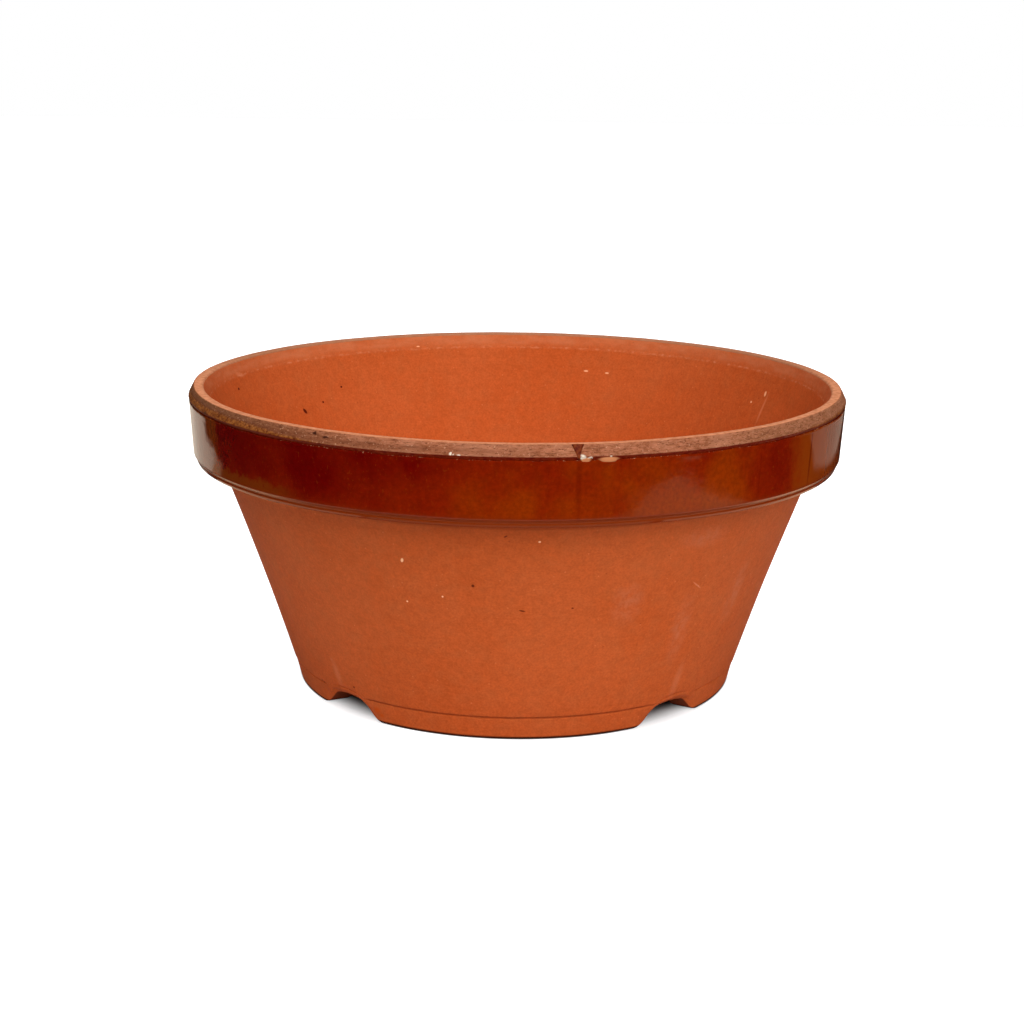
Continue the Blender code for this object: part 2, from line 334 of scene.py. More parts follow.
def make_clay():
    """The turned clay: rings on the inside wall, a rough cracked slope on the rim, arches in the foot."""
    points, names = clay_outline()
    r0, z0, along, marks = resample(points, names, clay_spacing)
    normal_r, normal_z = outline_normals(r0, z0)
    rows = len(r0)
    turn = grid(rows, CLAY_ROUND)
    r = r0[:, None] + 0 * turn
    z = z0[:, None] + 0 * turn
    where = at(r, z, turn)

    def shaped(noise):
        return noise.reshape(rows, CLAY_ROUND)

    def between(start, end, soft):
        inside = smooth(along, marks[start], marks[start] + soft)
        return (inside * (1 - smooth(along, marks[end] - soft, marks[end])))[:, None]

    inside = between("wiped", "floor_edge", 12 * MM)
    chamfer = between("edge", "rim_outside", 0.5 * MM)
    slow_size, _, slow_seed = WANDER[0]
    slow = shaped(lattice_noise(where, slow_size, slow_seed))
    rings = np.sin(z / RING_SPACING * math.tau + turn + 1.6 * slow)
    drawn_out = np.stack([where[:, 0], where[:, 1], np.repeat(along, CLAY_ROUND) * GRAIN_ROUND], axis=-1)
    crack_size, crack_depth, crack_seed = CRACKS
    cracks = smooth(shaped(lattice_noise(drawn_out, crack_size, crack_seed)), *CRACK_LEVELS)
    push = shaped(uneven(where, *WANDER)) + inside * RING_DEPTH * rings
    push += chamfer * (shaped(uneven(drawn_out, CHATTER)) - crack_depth * cracks)
    r = r + normal_r[:, None] * push
    z = z + normal_z[:, None] * push
    middle = FOOT_RADIUS - 0.5 * FOOT_WIDTH
    inner_rows = (z0 < FOOT_RECESS - 0.05 * MM) & (r0 < middle) & (r0 > middle - FOOT_WIDTH)
    outer_rows = (z0 < 20 * MM) & (r0 >= middle)
    r, z = cut_arches(r, np.maximum(z, 0), turn, (inner_rows, outer_rows))
    return turned_mesh("clay_pot", r, z, along), marks


# ---------------------------------------------------------------- glaze


def glaze_outline():
    """The coat's section, like the clay's: up the front over a small bead and shoulder, and down the back."""
    back_low = face_radius(FACE_LOW) - COAT - BITE
    back_high = face_radius(FACE_HIGH) - COAT - BITE
    corners = [
        ("underneath", FACE_RADIUS - BEAD_INSET, COLLAR_LOW + 0.1 * MM, 0),
        ("bottom", FACE_RADIUS - 1.25 * MM, COLLAR_LOW + 0.15 * MM, 0.15 * MM),
        ("bead", FACE_RADIUS - 0.8 * MM, COLLAR_LOW + 1.15 * MM, 0.2 * MM),
        ("groove", FACE_RADIUS - 1.05 * MM, COLLAR_LOW + 1.65 * MM, 0.2 * MM),
        ("shoulder", FACE_RADIUS, COLLAR_LOW + 2.9 * MM, 0.2 * MM),
        ("top", face_radius(FACE_HIGH), FACE_HIGH, 0.35 * MM),
        ("behind_top", back_high, FACE_HIGH - 0.4 * MM, 0),
        ("behind_bottom", back_low, FACE_LOW, 0),
    ]
    return rounded(corners)


def glaze_spacing(r, z):
    back = r < face_radius(z) - COAT
    edges = (z > FACE_HIGH - 1.5 * MM) | (z < FACE_LOW + 0.5 * MM)
    return np.select([back & (z > FACE_LOW), edges], [2.5 * MM, 0.2 * MM], 0.5 * MM)


def glaze_edge(turn):
    """How far the ragged upper edge of the glaze drops below the ridge, chips included."""
    round_the_rim = at(RIM_RADIUS + 0 * turn, 0 * turn, turn)
    drop = sum(depth for _, depth, _ in EDGE_WANDER) + uneven(round_the_rim, *EDGE_WANDER)
    ragged = uneven(round_the_rim, CHIP_EDGE)
    for centre, half, deep in CHIPS:
        off = np.abs(turn.ravel() - math.radians(centre)) / math.radians(half)
        drop += deep * MM * (1 - smooth(off + ragged, 0.5, 1.0))
    return drop


def make_glaze():
    """The turned glaze coat, faintly rippled on its front, with a ragged and chipped upper edge."""
    points, names = glaze_outline()
    r0, z0, along, _ = resample(points, names, glaze_spacing)
    normal_r, normal_z = outline_normals(r0, z0)
    rows = len(r0)
    turn = grid(rows, GLAZE_ROUND)
    r = r0[:, None] + 0 * turn
    z = z0[:, None] + 0 * turn
    where = at(r, z, turn)

    def shaped(noise):
        return noise.reshape(rows, GLAZE_ROUND)

    front = smooth(r0, face_radius(z0) - 0.9 * COAT, face_radius(z0) - 0.6 * COAT)[:, None]
    push = shaped(uneven(where, *WANDER)) + front * shaped(uneven(where, PEEL, WAVES))
    drop = glaze_edge(turn[:1])[None, :] * smooth(z0, FACE_HIGH - 3 * MM, FACE_HIGH - 0.4 * MM)[:, None]
    r = r + normal_r[:, None] * push
    z = z + normal_z[:, None] * push - drop
    return turned_mesh("amber_glaze_coat", r, z, along)


def run_path(distance):
    """Place and outward direction, facing -Y, at a distance down the bare slope and over its ridge."""
    fall = math.hypot(CHAMFER_RUN, CHAMFER_FALL)
    steep = math.atan2(CHAMFER_FALL, CHAMFER_RUN)
    turned = steep + (math.pi / 2 - steep) * float(smooth(distance, fall - 0.3 * MM, fall + 0.5 * MM))
    on_slope = min(distance, fall)
    radius = EDGE_RADIUS - CHAMFER_RUN + on_slope * math.cos(steep)
    height = HEIGHT - distance * math.sin(steep)
    return Vector((0.0, -radius, height)), Vector((0.0, -math.sin(turned), math.cos(turned)))


def run_points():
    """The run's outer points, row by row from the rim down, and then its hidden base points."""
    top, base = [], []
    for row in range(RUN_ROWS):
        part = row / (RUN_ROWS - 1)
        half = RUN_HALF_TOP + (RUN_HALF_TIP - RUN_HALF_TOP) * part ** 0.75
        place, outward = run_path(RUN_LENGTH * part)
        for column in range(RUN_COLUMNS):
            side = 2 * column / (RUN_COLUMNS - 1) - 1
            wander = RUN_WANDER * math.sin(4.1 * part + 2.0 * side)
            thick = RUN_THICK * (1 - side ** 4) * (1 - 0.5 * part)
            sideways = Vector((side * half + wander, 0, 0))
            top.append(place + sideways + outward * (thick + RUN_LIFT))
            base.append(place + sideways - outward * RUN_SUNK)
    return top + base


def slab_faces(rows, columns):
    """Faces of a closed slab between two like grids of points, the base's points after the top's."""
    size = rows * columns
    faces = []
    for row in range(rows - 1):
        for column in range(columns - 1):
            a = row * columns + column
            faces.append((a, a + columns, a + columns + 1, a + 1))
            faces.append((a + size, a + size + 1, a + size + columns + 1, a + size + columns))
    border = list(range(columns))
    border += [row * columns + columns - 1 for row in range(1, rows)]
    border += [(rows - 1) * columns + column for column in range(columns - 2, -1, -1)]
    border += [row * columns for row in range(rows - 2, 0, -1)]
    for a, b in zip(border, border[1:] + border[:1]):
        faces.append((a, b, b + size, a + size))
    return faces


def make_run():
    """The dark tongue of glaze across the bare slope: a low wedge that thins to a tip at the glaze below."""
    centre = (run_low + run_high) / 2
    turn = math.atan2(centre.x, -centre.y)
    mesh = bpy.data.meshes.new("dark_glaze_run")
    mesh.from_pydata([tuple(point) for point in run_points()], [], slab_faces(RUN_ROWS, RUN_COLUMNS))
    mesh.shade_smooth()
    mesh.transform(Matrix.Rotation(turn, 4, "Z"))
    run = bpy.data.objects.new("dark_glaze_run", mesh)
    bpy.context.collection.objects.link(run)
    return run


# ---------------------------------------------------------------- materials


def colour(red, green, blue):
    """Linear RGBA from display values of 0 to 255."""
    def linear(value):
        value /= 255
        return value / 12.92 if value <= 0.04045 else ((value + 0.055) / 1.055) ** 2.4
    return (linear(red), linear(green), linear(blue), 1.0)


CLAY = colour(184, 82, 35)
CLAY_WARM = colour(187, 87, 41)
MAROON = colour(97, 1, 0)
RED_BROWN = colour(124, 25, 1)
AMBER = colour(138, 45, 1)


class Surface:
    """A Principled material, with short calls that add nodes and return their output sockets."""

    def __init__(self, name):
        self.material = bpy.data.materials.new(name)
        self.material.use_nodes = True
        self.tree = self.material.node_tree
        self.shader = self.tree.nodes["Principled BSDF"]

    def add(self, kind, output=0, inputs=(), **settings):
        node = self.tree.nodes.new(kind)
        for key, value in settings.items():
            setattr(node, key, value)
        for key, value in dict(inputs).items():
            self.plug(node.inputs[key], value)
        return node.outputs[output]

    def plug(self, socket, value):
        if isinstance(value, bpy.types.NodeSocket):
            self.tree.links.new(value, socket)
        else:
            socket.default_value = value

    def set(self, **inputs):
        for key, value in inputs.items():
            self.plug(self.shader.inputs[key.replace("_", " ")], value)

    def place(self):
        return self.add("ShaderNodeTexCoord", "Object")

    def part(self, vector, axis):
        return self.add("ShaderNodeSeparateXYZ", axis, {0: vector})

    def along(self):
        return self.add("ShaderNodeAttribute", "Fac", attribute_name="along")

    def math(self, operation, a, b=0.0):
        return self.add("ShaderNodeMath", 0, {0: a, 1: b}, operation=operation)

    def stretch(self, vector, x, y, z):
        return self.add("ShaderNodeVectorMath", 0, {0: vector, 1: (x, y, z)}, operation="MULTIPLY")

    def noise(self, vector, size, detail=2.0, rough=0.5):
        inputs = {"Vector": vector, "Scale": 1 / size, "Detail": detail, "Roughness": rough}
        return self.add("ShaderNodeTexNoise", "Fac", inputs)

    def cells(self, vector, size):
        return self.add("ShaderNodeTexVoronoi", "Distance", {"Vector": vector, "Scale": 1 / size})

    def remap(self, value, low, high, to_low=0.0, to_high=1.0):
        inputs = {"Value": value, "From Min": low, "From Max": high, "To Min": to_low, "To Max": to_high}
        return self.add("ShaderNodeMapRange", 0, inputs, interpolation_type="SMOOTHSTEP")

    def jittered(self, value, place, size, rough, amount):
        """A value pushed up and down by noise, so that an edge found with it is ragged."""
        wobble = self.math("SUBTRACT", self.noise(place, size, 4, rough), 0.5)
        return self.math("ADD", value, self.math("MULTIPLY", wobble, amount))

    def band(self, value, start, end, soft):
        rise = self.remap(value, start - soft, start + soft)
        fall = self.remap(value, end - soft, end + soft, 1.0, 0.0)
        return self.math("MULTIPLY", rise, fall)

    def mix(self, factor, a, b, blend="MIX"):
        inputs = {0: factor, 6: a, 7: b}
        return self.add("ShaderNodeMix", 2, inputs, data_type="RGBA", blend_type=blend)

    def warped(self, place, size, amount):
        """The place pushed about by noise, so that patches found with it get wandering edges."""
        inputs = {"Vector": place, "Scale": 1 / size, "Detail": 3.0}
        push = self.add("ShaderNodeTexNoise", "Color", inputs)
        centred = self.add("ShaderNodeVectorMath", 0, {0: push, 1: (0.5, 0.5, 0.5)}, operation="SUBTRACT")
        scaled = self.stretch(centred, amount, amount, amount)
        return self.add("ShaderNodeVectorMath", 0, {0: place, 1: scaled}, operation="ADD")

    def bump(self, height, distance, strength=1.0, normal=None):
        inputs = {"Height": height, "Distance": distance, "Strength": strength}
        if normal is not None:
            inputs["Normal"] = normal
        return self.add("ShaderNodeBump", 0, inputs)

    def tone(self, base, factor):
        """The base colour times a grey factor."""
        grey = self.add("ShaderNodeCombineColor", 0, {0: factor, 1: factor, 2: factor})
        return self.mix(1.0, base, grey, "MULTIPLY")

    def spot(self, place, radius, turn, height, wide, tall, lean=0.0, soft=0.35):
        """1 in an oval patch on a wall and 0 away from it; turn and lean in degrees, the rest in mm."""
        inputs = {"Vector": place, "Angle": -math.radians(turn)}
        facing = self.add("ShaderNodeVectorRotate", 0, inputs, rotation_type="Z_AXIS")
        middle = (0.0, -radius(height * MM), height * MM)
        local = self.add("ShaderNodeVectorMath", 0, {0: facing, 1: middle}, operation="SUBTRACT")
        if lean:
            inputs = {"Vector": local, "Angle": math.radians(lean)}
            local = self.add("ShaderNodeVectorRotate", 0, inputs, rotation_type="Y_AXIS")
        scaled = self.stretch(local, 1 / (wide * MM), 1 / SPOT_DEPTH, 1 / (tall * MM))
        away = self.add("ShaderNodeVectorMath", "Value", {0: scaled}, operation="LENGTH")
        return self.remap(away, 1 - soft, 1 + soft, 1.0, 0.0)

    def spots(self, place, radius, marks, **shape):
        """All the marks of one kind, as the strongest of their patches."""
        strongest = self.spot(place, radius, *marks[0], **shape)
        for mark in marks[1:]:
            strongest = self.math("MAXIMUM", strongest, self.spot(place, radius, *mark, **shape))
        return strongest


SPOT_DEPTH = 12 * MM  # how far in and out from a wall a mark reaches
# Marks: turn in degrees from the front, then height, half width and half height in mm, and lean in degrees.
BODY_PALE = (
    (-20.9, 67.1, 0.45, 0.75, -20),
    (-21.3, 51.6, 0.3, 0.3),
    (-13.9, 54.8, 0.3, 0.3),
    (4.0, 76.3, 0.4, 0.3),
)
BODY_SCRATCH = ((38.0, 54.4, 2.6, 0.25, -35),)
# Painted highlights: pale streaks where light catches low ridges rising above the arches.
BODY_RIDGE_HIGHLIGHTS = (
    (-46.3, 15.5, 1.5, 4.5, 4),
    (40.8, 16.0, 1.5, 6.0, -5),
    (-47.0, 20.6, 0.6, 0.6),
)
BODY_ORANGE = ((-35.2, 4.9, 1.3, 1.1), (-33.9, 3.2, 0.8, 0.7))
BODY_DARK = (
    (-7.9, 59.6, 0.5, 0.5),
    (1.3, 50.6, 1.0, 0.28, -12),
    (11.0, 51.3, 0.4, 0.25, -12),
    (-54.6, 8.7, 0.5, 0.6),
    (-41.2, 11.9, 0.4, 0.4),
    (-1.8, 78.2, 0.6, 0.25, 30),
)
BODY_BLOOM = (
    (36.1, 73.0, 7.0, 3.0),
    (22.2, 51.7, 4.5, 6.0),
    (36.9, 38.2, 3.0, 10.0),
    (52.1, 47.3, 3.5, 9.0),
)
INNER_PITS = (
    (-125.3, 85.5, 0.65, 1.3, -40),
    (-104.4, 100.3, 0.7, 0.45),
    (-131.4, 87.6, 0.5, 0.4),
    (-137.5, 92.3, 0.5, 0.4),
)
INNER_PALE = (
    (164.3, 95.8, 0.9, 0.35),
    (159.4, 95.5, 0.8, 0.3),
    (119.6, 92.7, 0.5, 0.4),
    (-158.0, 105.6, 0.7, 0.25),
    (115.9, 97.0, 0.6, 1.0),
)
INNER_DRIP = ((115.2, 91.5, 0.6, 5.5, 6), (-107.0, 105.0, 3.0, 0.8, 15))
RIM_CREAM = (
    (9.75, 106.4, 0.75, 0.75),
    (10.8, 106.2, 0.8, 0.28),
    (13.9, 106.5, 0.3, 0.35),
    (-10.0, 107.05, 0.35, 0.3, 25),
    (-9.5, 106.85, 0.3, 0.15),
    (-8.7, 106.8, 0.6, 0.17, -6),
)
RIM_PITS = (
    (-62.7, 106.7, 1.0, 0.4),
    (-32.8, 109.3, 0.9, 0.35),
    (-30.6, 108.6, 1.1, 0.4),
)
# Painted light: amber where the front and right lights fall on the glaze, maroon where less light falls.
AMBER_LIT_LOBES = (
    (-4.0, 96, 24, 60),
    (10.0, 96, 14, 60),
    (22.0, 96, 17, 60),
    (34.0, 92, 10, 40),
    (63.0, 96, 12, 60),
    (-66.0, 98, 8, 60),
)
DRIP_LINES = ((55.5, 97.0, 0.5, 9.5),)
DRIP_SHADES = ((41.3, 97.0, 0.3, 8.0), (9.2, 96.0, 0.9, 9.0))


def clay_body(s, place):
    """Smooth fired clay: an even orange with a fine grain, faint turning lines and a few small marks."""
    broad = s.noise(place, 38 * MM, 2)
    patches = s.noise(place, 6 * MM, 3, 0.6)
    grain = s.noise(place, 0.75 * MM, 3, 0.65)
    lines = s.noise(s.stretch(place, 1, 1, 30), 30 * MM, 3, 0.6)
    base = s.mix(s.remap(broad, 0.3, 0.7), CLAY, CLAY_WARM)
    base = s.mix(s.remap(patches, 0.4, 0.75, 0, 0.35), base, colour(178, 90, 46))
    base = s.mix(s.remap(lines, 0.5, 0.8, 0, 0.25), base, colour(168, 70, 28))
    base = s.tone(base, s.remap(grain, 0.2, 0.8, 0.87, 1.13))
    base = s.tone(base, s.remap(s.noise(place, 2.4 * MM, 3, 0.6), 0.3, 0.7, 0.94, 1.06))
    base = s.mix(s.remap(s.cells(place, 4.1 * MM), 0.03, 0.09, 0.4, 0.0), base, colour(226, 130, 80))
    base = s.mix(s.remap(s.cells(place, 5.7 * MM), 0.02, 0.07, 0.45, 0.0), base, colour(120, 46, 18))
    return base


def walls_marked(s, place, along, marks, base):
    """The marks that only this pot has, and painted highlights on the ridges above the arches, each kept to
    its own side of the wall.
    """
    outside = s.band(along, marks["foot_outside"], marks["edge"], 0.5 * MM)
    inside = s.band(along, marks["rim_inside"], marks["floor_edge"], 0.5 * MM)
    cloud = s.remap(s.noise(place, 3 * MM, 3, 0.6), 0.3, 0.7, 0.1, 0.55)
    wall_marks = (
        (wall_radius, outside, BODY_BLOOM, 0.8, cloud, colour(190, 106, 72)),
        (wall_radius, outside, BODY_ORANGE, 0.7, 0.7, colour(196, 76, 8)),
        # painted highlights on the ridges above the arches
        (wall_radius, outside, BODY_RIDGE_HIGHLIGHTS, 0.8, 0.25, colour(214, 130, 92)),
        (wall_radius, outside, BODY_SCRATCH, 0.35, 0.35, colour(230, 150, 110)),
        (wall_radius, outside, BODY_PALE, 0.35, 1.0, colour(246, 188, 140)),
        (wall_radius, outside, BODY_DARK, 0.35, 1.0, colour(100, 40, 12)),
        (inner_radius, inside, INNER_DRIP, 0.6, 0.4, colour(222, 134, 90)),
        (inner_radius, inside, INNER_PALE, 0.35, 1.0, colour(236, 168, 120)),
        (inner_radius, inside, INNER_PITS, 0.35, 1.0, colour(84, 24, 6)),
    )
    for radius, side, patches, soft, strength, tint in wall_marks:
        amount = s.math("MULTIPLY", s.spots(place, radius, patches, soft=soft), side)
        base = s.mix(s.math("MULTIPLY", amount, strength), base, tint)
    return base


def stain_and_shade_under_collar(s, along, marks, base):
    """Painted shade, and a glaze stain, on the clay tucked in below the collar's overhang."""
    tucked = s.band(along, marks["neck"] - 0.6 * MM, marks["face_low"], 0.9 * MM)
    return s.mix(s.math("MULTIPLY", tucked, 0.6), base, colour(130, 44, 8))


def wiped_inside(s, place, along, marks, base):
    """The band wiped smooth inside the rim: pale and cloudy, with a crumbly crease along its lower edge."""
    wiped = s.band(along, marks["rim_inside"], marks["wiped"] - 1.2 * MM, 1.4 * MM)
    cloudy = s.remap(s.noise(s.stretch(place, 1, 1, 3), 9 * MM, 3, 0.6), 0.3, 0.7, 0.2, 0.5)
    base = s.mix(s.math("MULTIPLY", wiped, cloudy), base, colour(204, 124, 84))
    crease = s.band(along, marks["wiped"] - 0.5 * MM, marks["wiped"] + 0.3 * MM, 0.5 * MM)
    crumbly = s.remap(s.noise(s.stretch(place, 1, 1, 2), 2.5 * MM, 3, 0.6), 0.45, 0.7, 0.05, 0.4)
    return s.mix(s.math("MULTIPLY", crease, crumbly), base, colour(224, 150, 108))


def rim_top(s, place, along, marks, ragged, base):
    """The pale flat on top of the rim, with painted shade making it browner at the back."""
    wandering = s.math("ADD", along, s.math("MULTIPLY", ragged, 0.4))
    flat = s.band(wandering, marks["rim_outside"] + 0.25 * MM, marks["rim_inside"] + 0.7 * MM, 0.2 * MM)
    patchy = s.remap(s.noise(place, 2 * MM, 3, 0.6), 0.3, 0.7)
    pale = s.mix(patchy, colour(184, 114, 78), colour(212, 142, 104))
    # Painted shade: the flat turns browner towards the back.
    back = s.remap(s.part(place, "Y"), -20 * MM, 60 * MM, 0, 0.75)
    return s.mix(flat, base, s.mix(back, pale, colour(150, 98, 70)))


def bare_slope_colour(s, place, height):
    """The bare slope of the rim: brown, pitted, cracked along its length, and darker on the left."""
    across = s.part(place, "X")
    mottled = s.remap(s.noise(s.stretch(place, 1, 1, 3), 2.6 * MM, 4, 0.7), 0.3, 0.7)
    base = s.mix(mottled, colour(132, 74, 46), colour(184, 114, 82))
    base = s.mix(s.remap(s.noise(place, 14 * MM, 2), 0.45, 0.7, 0, 0.5), base, colour(182, 120, 90))
    scored = s.remap(s.noise(s.stretch(place, 1, 1, 14), 6 * MM, 3, 0.7), 0.5, 0.72, 0, 0.5)
    base = s.mix(scored, base, colour(202, 136, 102))
    base = s.mix(s.remap(across, -110 * MM, -30 * MM, 0.8, 0), base, colour(108, 66, 40))
    base = s.mix(s.remap(across, 55 * MM, 85 * MM, 0, 0.3), base, colour(118, 84, 56))
    middle = s.band(height, EDGE_HEIGHT + 0.5 * MM, EDGE_HEIGHT + 2.2 * MM, 0.6 * MM)
    # darker in the middle of the slope, more so towards the left
    darker_left = s.math("MULTIPLY", middle, s.remap(across, -40 * MM, 20 * MM, 0.5, 0.05))
    base = s.mix(darker_left, base, colour(110, 56, 32))
    cracks = s.remap(s.noise(s.stretch(place, 1, 1, 5), 1.6 * MM, 3, 0.7), 0.56, 0.63, 0, 0.75)
    base = s.mix(cracks, base, colour(88, 44, 26))
    crumbs = s.remap(s.noise(place, 0.7 * MM, 2, 0.6), 0.62, 0.72, 0, 0.6)
    return s.mix(crumbs, base, colour(216, 160, 124))


def glaze_stain(s, place, along, marks, ragged):
    """1 where glaze has spread thinly up the bare slope: well up on the left, a little on the right."""
    across = s.part(place, "X")
    left = s.remap(across, -100 * MM, -40 * MM, 1.9 * MM, -0.8 * MM)
    right = s.remap(across, 70 * MM, 115 * MM, -0.8 * MM, 0.8 * MM)
    reach = s.math("ADD", s.math("MAXIMUM", left, right), EDGE_HEIGHT)
    over = s.math("SUBTRACT", reach, s.math("ADD", s.part(place, "Z"), ragged))
    near_rim = s.band(along, marks["edge"] - 1 * MM, marks["rim_outside"], 0.1 * MM)
    return s.math("MULTIPLY", near_rim, s.remap(over, -0.25 * MM, 0.25 * MM))


def slope_radius(z):
    return EDGE_RADIUS - CHAMFER_RUN * (z - EDGE_HEIGHT) / CHAMFER_FALL


def glaze_traces(s, place, along, marks, stain, base):
    """What the glaze left on the clay: its stain, a film behind its ragged edge, chips, pits and crumbs."""
    mottled = s.remap(s.noise(s.stretch(place, 1, 1, 1.6), 1.5 * MM, 4, 0.7), 0.35, 0.65)
    base = s.mix(stain, base, s.mix(mottled, colour(92, 34, 8), colour(164, 98, 46)))
    film = s.band(along, marks["face_low"], marks["edge"] + 0.1 * MM, 0.15 * MM)
    base = s.mix(film, base, s.mix(mottled, colour(100, 14, 2), colour(126, 38, 10)))
    chipped = s.math("MULTIPLY", s.spots(place, face_radius, CHIP_MARKS), film)
    base = s.mix(chipped, base, colour(226, 146, 96))
    crumbled = s.warped(place, 1.1 * MM, 1.2 * MM)
    base = s.mix(s.spots(crumbled, slope_radius, RIM_PITS), base, colour(66, 32, 20))
    return s.mix(s.spots(crumbled, slope_radius, RIM_CREAM), base, colour(240, 222, 200))


def foot_shaded(s, place, along, marks, base):
    """Painted shade on the clay: in the arches, where the foot meets the ground, and in the line at the front
    and back.
    """
    # Painted shade inside the arches.
    arch = s.band(along, marks["recess"], marks["foot_outside"] - 0.2 * MM, 0.3 * MM)
    base = s.mix(s.math("MULTIPLY", arch, 0.8), base, colour(84, 30, 12))
    # Painted shade along the foot's lower edge, where it meets the ground.
    base = s.mix(s.remap(s.part(place, "Z"), 0.6 * MM, 1.3 * MM, 0.95, 0.0), base, colour(44, 14, 5))
    # Painted shade in the incised line, strongest at the front and back and fading towards the sides.
    line = s.band(along, marks["line"] - 0.45 * MM, marks["line"] + 0.4 * MM, 0.2 * MM)
    sideways = s.math("ABSOLUTE", s.part(place, "X"))
    dark = s.math("MULTIPLY", line, s.remap(sideways, 48 * MM, 56 * MM, 0.5, 0.0))
    return s.mix(dark, base, colour(106, 38, 12))


def clay_surface(marks):
    """Bare fired clay; marks holds the distance along the outline of each of its named corners."""
    s = Surface("fired_clay")
    place = s.place()
    along = s.along()
    ragged = s.math("MULTIPLY", s.math("SUBTRACT", s.noise(place, 1.6 * MM, 3, 0.6), 0.5), 1.6 * MM)
    slope = s.band(along, marks["edge"] - 0.2 * MM, marks["rim_outside"] + 0.2 * MM, 0.15 * MM)
    stain = glaze_stain(s, place, along, marks, ragged)
    base = clay_body(s, place)
    base = walls_marked(s, place, along, marks, base)
    base = stain_and_shade_under_collar(s, along, marks, base)
    base = wiped_inside(s, place, along, marks, base)
    base = rim_top(s, place, along, marks, ragged, base)
    base = s.mix(slope, base, bare_slope_colour(s, place, s.part(place, "Z")))
    base = glaze_traces(s, place, along, marks, stain, base)
    base = foot_shaded(s, place, along, marks, base)
    s.set(Base_Color=base, Roughness=s.remap(stain, 0, 1, 0.85, 0.4), Specular_IOR_Level=0.1)
    fine = s.mix(0.5, s.noise(place, 1.1 * MM, 4, 0.7), s.noise(place, 0.4 * MM, 2, 0.6))
    rough_rim = s.math("MULTIPLY", slope, s.noise(s.stretch(place, 1, 1, 4), 1.2 * MM, 4, 0.75))
    s.set(Normal=s.bump(rough_rim, 0.5 * MM, 0.6, s.bump(fine, 0.05 * MM, 0.6)))
    return s.material


def glaze_depth_and_light(s, place, height):
    """Maroon to red-brown to amber with fine amber flecks: glaze thickness in broad patches, painted light in
    the lobes and towards +X.
    """
    lit_lobes = s.spots(s.warped(place, 11 * MM, 16 * MM), face_radius, AMBER_LIT_LOBES, soft=0.7)
    # thin mixes the glaze's own thinner patches with painted light: the lit lobes and the rise towards +X.
    thin = s.remap(s.noise(place, 20 * MM, 3), 0.3, 0.7, -0.16, 0.2)
    thin = s.math("ADD", s.math("MULTIPLY", lit_lobes, 0.5), thin)
    thin = s.math("ADD", thin, s.remap(s.part(place, "X"), -30 * MM, 60 * MM, 0.0, 0.33))
    thin = s.math("ADD", thin, s.remap(height, FACE_LOW, FACE_HIGH, 0.22, 0.0))
    base = s.mix(s.remap(thin, 0.0, 0.55), MAROON, RED_BROWN)
    base = s.mix(s.remap(thin, 0.5, 1.0), base, AMBER)
    base = s.tone(base, s.remap(s.noise(place, 1.5 * MM, 4, 0.7), 0.25, 0.75, 0.8, 1.2))
    flecks = s.remap(s.noise(s.stretch(place, 1, 1, 0.6), 0.9 * MM, 3, 0.7), 0.58, 0.72, 0, 0.28)
    return s.mix(flecks, base, colour(156, 66, 10))


def amber_sides(s, place, height, base):
    """More amber glaze towards the left and right edges, and low down on the left."""
    across = s.jittered(s.part(place, "X"), place, 5 * MM, 0.7, 9 * MM)
    raised = s.jittered(height, place, 2.6 * MM, 0.75, 9 * MM)
    left = s.remap(across, -103.0 * MM, -99.5 * MM, 0.95, 0.0)
    right = s.remap(across, 88 * MM, 97 * MM, 0.0, 0.95)
    low = s.remap(raised, 88.5 * MM, 91.0 * MM, 0.9, 0.0)
    left_low = s.math("MULTIPLY", s.remap(across, -84 * MM, -66 * MM, 1, 0), low)
    base = s.mix(s.math("MAXIMUM", left, left_low), base, colour(118, 48, 6))
    return s.mix(right, base, colour(140, 56, 4))


def glaze_borders(s, place, height, base):
    """Browner glaze over the shoulder, painted light in the groove above the bead, and a worn upper edge."""
    shoulder = s.remap(height, COLLAR_LOW + 1.8 * MM, FACE_LOW + 1.5 * MM, 0.9, 0.0)
    base = s.mix(shoulder, base, colour(126, 40, 6))
    # Painted light: a lighter brown in the groove above the bead, against the shade that falls there.
    groove = s.band(height, COLLAR_LOW + 1.0 * MM, COLLAR_LOW + 2.6 * MM, 0.3 * MM)
    base = s.mix(s.math("MULTIPLY", groove, 0.7), base, colour(134, 50, 10))
    drip_marks = ((DRIP_LINES, 0.6, colour(78, 6, 0)), (DRIP_SHADES, 0.3, colour(90, 8, 0)))
    for patches, strength, tint in drip_marks:
        drips = s.spots(place, face_radius, patches, soft=0.6)
        base = s.mix(s.math("MULTIPLY", drips, strength), base, tint)
    worn = s.remap(s.noise(place, 0.9 * MM, 2, 0.6), 0.55, 0.68)
    top = s.remap(height, FACE_HIGH - 0.9 * MM, FACE_HIGH - 0.4 * MM, 0, 0.7)
    return s.mix(s.math("MULTIPLY", worn, top), base, colour(226, 176, 136))


